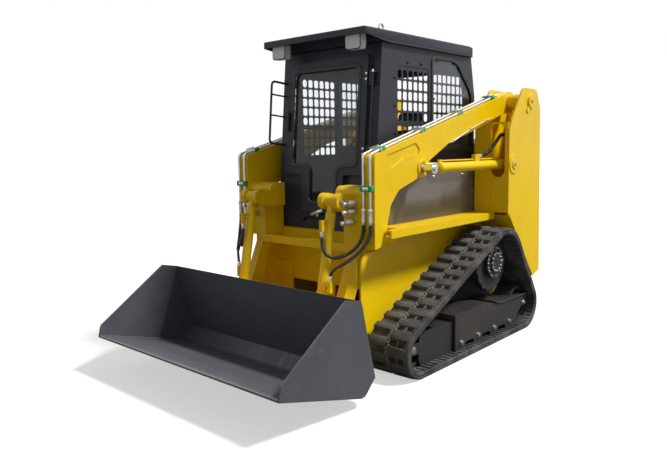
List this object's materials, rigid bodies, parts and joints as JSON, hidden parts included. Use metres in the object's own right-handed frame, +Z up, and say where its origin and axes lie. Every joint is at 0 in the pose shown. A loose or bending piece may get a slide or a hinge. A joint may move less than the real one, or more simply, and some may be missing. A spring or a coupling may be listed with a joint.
{
  "type": "compact track loader",
  "caption": "Rubber-tracked compact loader with a caged cab, two lift arms pivoted high at the rear, tilt cylinders and a wide low bucket.",
  "frame": {"origin": "on the ground, in the middle of the machine's length and width", "axes": "+X forward to the bucket, +Y to the machine's left, +Z up"},
  "size_m": [3.0794, 1.692, 2.2239],
  "materials": {
    "yellow_paint": "gloss",
    "dark_paint": "satin",
    "bucket_paint": "satin",
    "grey_panel": "satin",
    "track_rubber": "matt",
    "chrome_rod": "polished",
    "zinc": "satin",
    "glass": "clear",
    "lamp": "clear",
    "hose_rubber": "satin",
    "seat_vinyl": "satin"
  },
  "bodies": {
    "chassis": {"frame_side_left": "yellow_paint", "frame_side_right": "yellow_paint", "frame_front": "yellow_paint", "frame_belly": "yellow_paint", "upright_left": "yellow_paint", "upright_right": "yellow_paint", "side_panels": "grey_panel", "engine_hood": "yellow_paint", "engine_block": "dark_paint", "cab_side_left": "dark_paint", "cab_side_right": "dark_paint", "cab_rear": "dark_paint", "cab_front": "dark_paint", "cab_roof": "dark_paint", "cab_floor": "dark_paint", "side_windows": "glass", "work_lamps": "lamp", "lifting_eyes": "zinc", "grab_rail": "dark_paint", "operator_seat": "seat_vinyl", "control_consoles": "dark_paint", "track_left": "track_rubber", "track_right": "track_rubber", "track_frame_left": "dark_paint", "track_frame_right": "dark_paint", "drive_sprockets": "dark_paint", "track_wheels": "dark_paint", "tow_hitch": "yellow_paint", "window_grilles": "dark_paint"},
    "lift_arms": {"lift_arm_left": "yellow_paint", "lift_arm_right": "yellow_paint", "arm_cross_beam": "yellow_paint", "arm_pipes": "zinc", "aux_couplers": "zinc"},
    "lift_barrels": {"lift_cylinder_barrels": "yellow_paint"},
    "lift_rods": {"lift_cylinder_rods": "chrome_rod"},
    "tilt_barrels": {"tilt_cylinder_barrels": "yellow_paint", "upper_hose_left": "hose_rubber", "upper_hose_right": "hose_rubber", "lower_hose_left": "hose_rubber", "lower_hose_right": "hose_rubber"},
    "tilt_rods": {"tilt_cylinder_rods": "chrome_rod"},
    "bucket": {"quick_attach": "yellow_paint", "bucket": "bucket_paint"},
    "cab_door": {"cab_door": "dark_paint", "door_glass": "glass"},
    "rear_door": {"rear_door": "yellow_paint"}
  },
  "joints": [
    {"name": "lift", "type": "hinge", "parent": "chassis", "child": "lift_arms", "pos_m": [-1.218, 0, 1.755], "axis": [0, -1, 0], "range_deg": [0, 65]},
    {"name": "lift_barrel_swing", "type": "hinge", "parent": "chassis", "child": "lift_barrels", "pos_m": [-0.958, 0, 1.285], "axis": [0, -1, 0], "range_deg": [0, 67]},
    {"name": "lift_rod_slide", "type": "slide", "parent": "lift_barrels", "child": "lift_rods", "axis": [1, 0, 0.0042], "range_m": [0, 0.585]},
    {"name": "tilt", "type": "hinge", "parent": "lift_arms", "child": "bucket", "pos_m": [0.712, 0, 0.205], "axis": [0, 1, 0], "range_deg": [-12, 118]},
    {"name": "tilt_barrel_swing", "type": "hinge", "parent": "lift_arms", "child": "tilt_barrels", "pos_m": [0.602, 0, 1.105], "axis": [0, -1, 0], "range_deg": [-1, 8]},
    {"name": "tilt_rod_slide", "type": "slide", "parent": "tilt_barrels", "child": "tilt_rods", "axis": [0.1855, 0, -0.9826], "range_m": [-0.031, 0.3]},
    {"name": "cab_door_hinge", "type": "hinge", "parent": "chassis", "child": "cab_door", "pos_m": [0.31519, 0.385, 0.89179], "axis": [-0.0896, 0, 0.996], "range_deg": [0, 52]},
    {"name": "rear_door_hinge", "type": "hinge", "parent": "chassis", "child": "rear_door", "pos_m": [-1.472, 0.468, 1], "axis": [0, 0, -1], "range_deg": [0, 110]}
  ],
  "couplings": [
    {"joint": "lift_barrel_swing", "follows": "lift", "ratio": 1.012},
    {"joint": "lift_rod_slide", "follows": "lift", "m_per_rad": 0.5096},
    {"joint": "tilt_barrel_swing", "follows": "tilt", "ratio": 0.064},
    {"joint": "tilt_rod_slide", "follows": "tilt", "m_per_rad": 0.1444}
  ]
}
